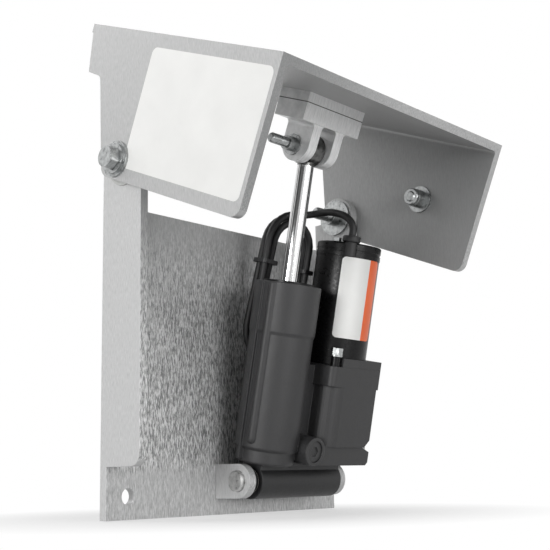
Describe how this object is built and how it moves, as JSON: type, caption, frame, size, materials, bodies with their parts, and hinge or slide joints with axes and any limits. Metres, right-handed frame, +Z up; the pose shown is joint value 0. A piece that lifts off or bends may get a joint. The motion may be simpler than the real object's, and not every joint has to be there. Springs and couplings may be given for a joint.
{
  "type": "power trim and tilt unit",
  "caption": "Hydraulic power trim and tilt unit: a channel that bolts to the transom carries a tilting motor bracket, moved by a ram with its own electric pump.",
  "frame": {"origin": "centre of the transom bolt pattern, on the bracket face that lies against the transom", "axes": "+Z up, +Y forward into the transom, +X across the unit towards its pump side"},
  "size_m": [0.343, 0.2373, 0.4428],
  "materials": {
    "aluminium_plate": "mill finish, brushed along the plate",
    "clevis_aluminium": "machined, satin",
    "zinc_steel": "zinc plated",
    "ground_steel": "ground",
    "hard_chrome": "polished",
    "casting_paint": "satin grey paint on sand-cast aluminium",
    "motor_paint": "semi-gloss black",
    "black_rubber": "matt",
    "black_nylon": "moulded",
    "white_nylon": "moulded",
    "gear_bronze": "machined",
    "rotor_iron": "laminated"
  },
  "bodies": {
    "transom": {"transom_bracket": "aluminium_plate", "pivot_ears": "aluminium_plate", "lower_pin": "ground_steel", "pin_clips": "ground_steel", "pin_spacer": "black_nylon", "tilt_bolts": "zinc_steel", "tilt_washers": "zinc_steel", "tilt_nuts": "zinc_steel"},
    "motor_bracket": {"motor_bracket": "aluminium_plate", "tilt_bushings": "black_nylon", "ram_clevis": "clevis_aluminium", "clevis_screws": "zinc_steel", "clevis_bolt": "zinc_steel", "clevis_washers": "zinc_steel", "clevis_nut": "zinc_steel", "stop_bolt": "zinc_steel", "stop_washers": "zinc_steel", "stop_nut": "zinc_steel"},
    "ram": {"ram_housing": "casting_paint", "pin_bushings": "white_nylon", "gland": "motor_paint", "rod_seal": "white_nylon", "rod_wiper": "black_rubber", "relief_plug": "casting_paint", "fill_plug": "black_nylon", "release_screw": "ground_steel", "pump_block": "ground_steel", "pump_cover": "ground_steel", "motor_gasket": "black_rubber", "clamp_plate": "casting_paint", "motor_base": "motor_paint", "motor_can": "motor_paint", "motor_magnets": "rotor_iron", "brush_plate": "black_nylon", "end_cap": "motor_paint", "motor_screws": "zinc_steel", "screw_spacers": "motor_paint", "through_bolts": "zinc_steel", "cable_boot": "black_rubber", "cable_lead": "black_rubber", "cable_hank": "black_rubber", "cable_ties": "black_nylon", "cable_plug": "black_nylon"},
    "rod": {"piston_rod": "hard_chrome", "rod_eye": "ground_steel", "piston": "ground_steel", "piston_ring": "white_nylon", "piston_nut": "ground_steel"},
    "rotor": {"armature": "rotor_iron", "drive_gear": "gear_bronze"},
    "idler": {"idler_gear": "gear_bronze"}
  },
  "joints": [
    {"name": "tilt", "type": "hinge", "parent": "transom", "child": "motor_bracket", "pos_m": [0, -0.02937, 0.1847], "axis": [1, 0, 0], "range_deg": [-3, 65]},
    {"name": "ram_swing", "type": "hinge", "parent": "transom", "child": "ram", "pos_m": [0.0085, -0.0365, -0.0908], "axis": [1, 0, 0], "range_deg": [-0.6, 3]},
    {"name": "rod_stroke", "type": "slide", "parent": "ram", "child": "rod", "axis": [0, -0.2192, 0.9757], "range_m": [-0.0865, 0.0045]},
    {"name": "motor_spin", "type": "hinge", "parent": "ram", "child": "rotor", "pos_m": [0.0805, -0.07841, 0.06377], "axis": [0, -0.2192, 0.9757], "continuous": true},
    {"name": "idler_spin", "type": "hinge", "parent": "ram", "child": "idler", "pos_m": [0.0945, -0.07841, 0.06377], "axis": [0, -0.2192, 0.9757], "continuous": true}
  ],
  "couplings": [
    {"joint": "ram_swing", "follows": "tilt", "ratio": 0.034},
    {"joint": "rod_stroke", "follows": "tilt", "m_per_rad": -0.07505},
    {"joint": "idler_spin", "follows": "motor_spin", "ratio": -1}
  ]
}
